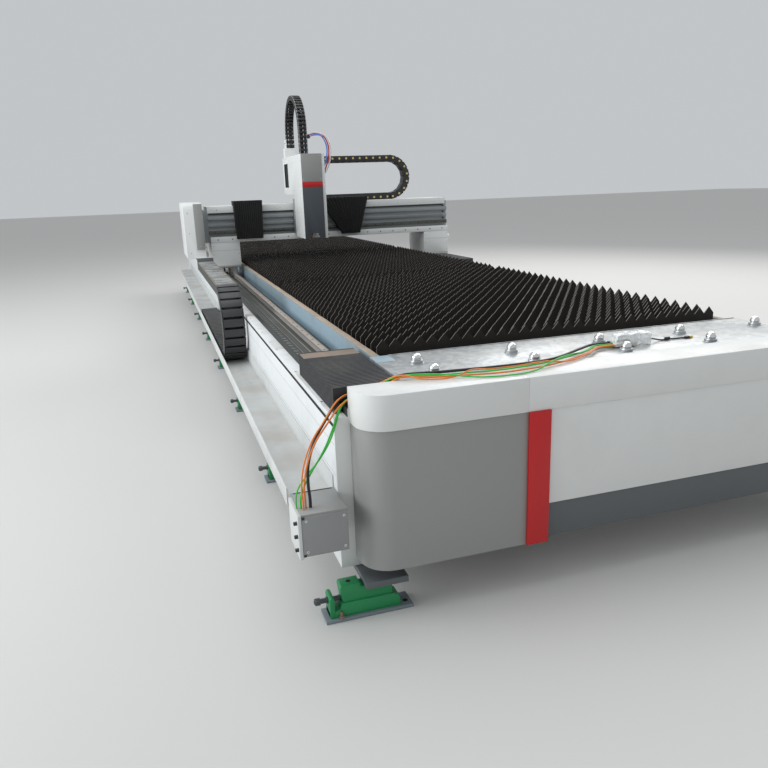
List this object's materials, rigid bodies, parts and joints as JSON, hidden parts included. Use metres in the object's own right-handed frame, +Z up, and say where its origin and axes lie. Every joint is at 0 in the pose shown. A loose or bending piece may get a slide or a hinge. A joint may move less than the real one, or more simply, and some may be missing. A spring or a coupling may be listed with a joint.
{
  "type": "fiber laser cutting machine",
  "caption": "Open flat-bed fiber laser cutting machine with a toothed slat table, a moving gantry, a carriage with a cutting head, drag chains and levelling feet.",
  "frame": {"origin": "on the floor, under the middle of the whole machine's outer box", "axes": "+Y along the bed, away from the front end cover; +X across the bed, away from the cable tray; +Z up"},
  "size_m": [2.511, 8.812, 2.135],
  "materials": {
    "white_paint": "semi-gloss powder coat",
    "light_grey_paint": "semi-gloss powder coat",
    "beam_grey_paint": "satin paint",
    "dark_grey_paint": "satin paint",
    "red_paint": "semi-gloss paint",
    "light_blue_paint": "satin paint",
    "dark_slat_steel": "hot-rolled steel with scale",
    "galvanised_plate": "galvanised sheet",
    "bare_steel": "ground steel",
    "copper": "turned copper",
    "bellows_cloth": "coated cloth folds",
    "black_plastic": "moulded nylon",
    "green_wire": "wire sheath",
    "orange_wire": "wire sheath",
    "clear_wrap": "clear film over connectors"
  },
  "bodies": {
    "bed": {"bed_beam_left": "white_paint", "bed_beam_right": "white_paint", "bed_cross_member_1": "beam_grey_paint", "bed_cross_member_2": "beam_grey_paint", "bed_cross_member_3": "beam_grey_paint", "bed_cross_member_4": "beam_grey_paint", "bed_cross_member_5": "beam_grey_paint", "bed_cross_member_6": "beam_grey_paint", "bed_cross_member_7": "beam_grey_paint", "bed_cross_member_8": "beam_grey_paint", "table_side_left": "light_blue_paint", "table_side_right": "light_blue_paint", "slat_pallet_front": "dark_slat_steel", "slat_pallet_middle": "dark_slat_steel", "slat_pallet_rear": "dark_slat_steel", "ball_transfer_plate": "galvanised_plate", "front_cap_left": "white_paint", "front_cap_right": "white_paint", "front_corner_panel": "light_grey_paint", "front_panel": "white_paint", "front_skirt": "dark_grey_paint", "red_stripe": "red_paint", "rear_cover": "white_paint", "cable_tray": "white_paint", "tray_end_box": "light_grey_paint", "drag_chain_lower_run": "black_plastic", "rail_bellows_left": "bellows_cloth", "wire_green": "green_wire", "wire_orange": "orange_wire", "cable_black": "black_plastic", "wrapped_connectors": "clear_wrap"},
    "gantry": {"gantry_girder": "light_grey_paint", "girder_lower_lip": "white_paint", "girder_top_cover": "white_paint", "gantry_column_left": "white_paint", "gantry_foot_left": "white_paint", "gantry_foot_right": "white_paint", "drive_unit_left": "dark_grey_paint", "drive_unit_right": "dark_grey_paint", "rail_bellows_right": "bellows_cloth", "drag_chain_upper_run": "black_plastic", "top_chain_lower_run": "black_plastic"},
    "pinion_left": {"drive_pinion_left": "bare_steel"},
    "pinion_right": {"drive_pinion_right": "bare_steel"},
    "chain_lower_bend": {"drag_chain_lower_bend": "black_plastic"},
    "chain_upper_bend": {"drag_chain_upper_bend": "black_plastic"},
    "top_lower_bend": {"top_chain_lower_bend": "black_plastic"},
    "top_upper_bend": {"top_chain_upper_bend": "black_plastic"},
    "carriage": {"carriage_plate": "bare_steel", "head_housing": "white_paint", "head_upper_panel": "light_grey_paint", "head_lower_panel": "dark_grey_paint", "head_chain": "black_plastic", "head_hoses": "black_plastic", "hanging_bellows_left": "bellows_cloth", "hanging_bellows_right": "bellows_cloth", "top_chain_upper_run": "black_plastic"},
    "torch": {"z_slide_plate": "bare_steel", "laser_torch": "dark_grey_paint", "cutting_nozzle": "copper"}
  },
  "joints": [
    {"name": "gantry_slide", "type": "slide", "parent": "bed", "child": "gantry", "axis": [0, 1, 0], "range_m": [-3.2, 2.8], "deforming": ["drag_chain_upper_run", "drag_chain_lower_run"]},
    {"name": "pinion_left_turn", "type": "hinge", "parent": "gantry", "child": "pinion_left", "pos_m": [-0.9332, 0.14, 0.68], "axis": [0, 0, 1], "range_deg": [-6200, 5400]},
    {"name": "pinion_right_turn", "type": "hinge", "parent": "gantry", "child": "pinion_right", "pos_m": [1.0322, 0.14, 0.68], "axis": [0, 0, 1], "range_deg": [-5400, 6200]},
    {"name": "chain_lower_bend_slide", "type": "slide", "parent": "bed", "child": "chain_lower_bend", "axis": [0, 1, 0], "range_m": [-1.6, 1.4]},
    {"name": "chain_upper_bend_slide", "type": "slide", "parent": "gantry", "child": "chain_upper_bend", "axis": [0, 1, 0], "range_m": [-1.4, 1.6]},
    {"name": "carriage_slide", "type": "slide", "parent": "gantry", "child": "carriage", "axis": [1, 0, 0], "range_m": [-0.52, 0.9], "deforming": ["top_chain_lower_run", "top_chain_upper_run", "hanging_bellows_left", "hanging_bellows_right"]},
    {"name": "top_lower_bend_slide", "type": "slide", "parent": "gantry", "child": "top_lower_bend", "axis": [1, 0, 0], "range_m": [-0.26, 0.45]},
    {"name": "top_upper_bend_slide", "type": "slide", "parent": "carriage", "child": "top_upper_bend", "axis": [1, 0, 0], "range_m": [-0.45, 0.26]},
    {"name": "torch_slide", "type": "slide", "parent": "carriage", "child": "torch", "axis": [0, 0, 1], "range_m": [-0.13, 0], "deforming": ["head_chain"]}
  ],
  "couplings": [
    {"joint": "pinion_left_turn", "follows": "gantry_slide", "rad_per_m": 33.333},
    {"joint": "pinion_right_turn", "follows": "gantry_slide", "rad_per_m": -33.333},
    {"joint": "chain_lower_bend_slide", "follows": "gantry_slide", "ratio": 0.5},
    {"joint": "chain_upper_bend_slide", "follows": "gantry_slide", "ratio": -0.5},
    {"joint": "top_lower_bend_slide", "follows": "carriage_slide", "ratio": 0.5},
    {"joint": "top_upper_bend_slide", "follows": "carriage_slide", "ratio": -0.5}
  ]
}
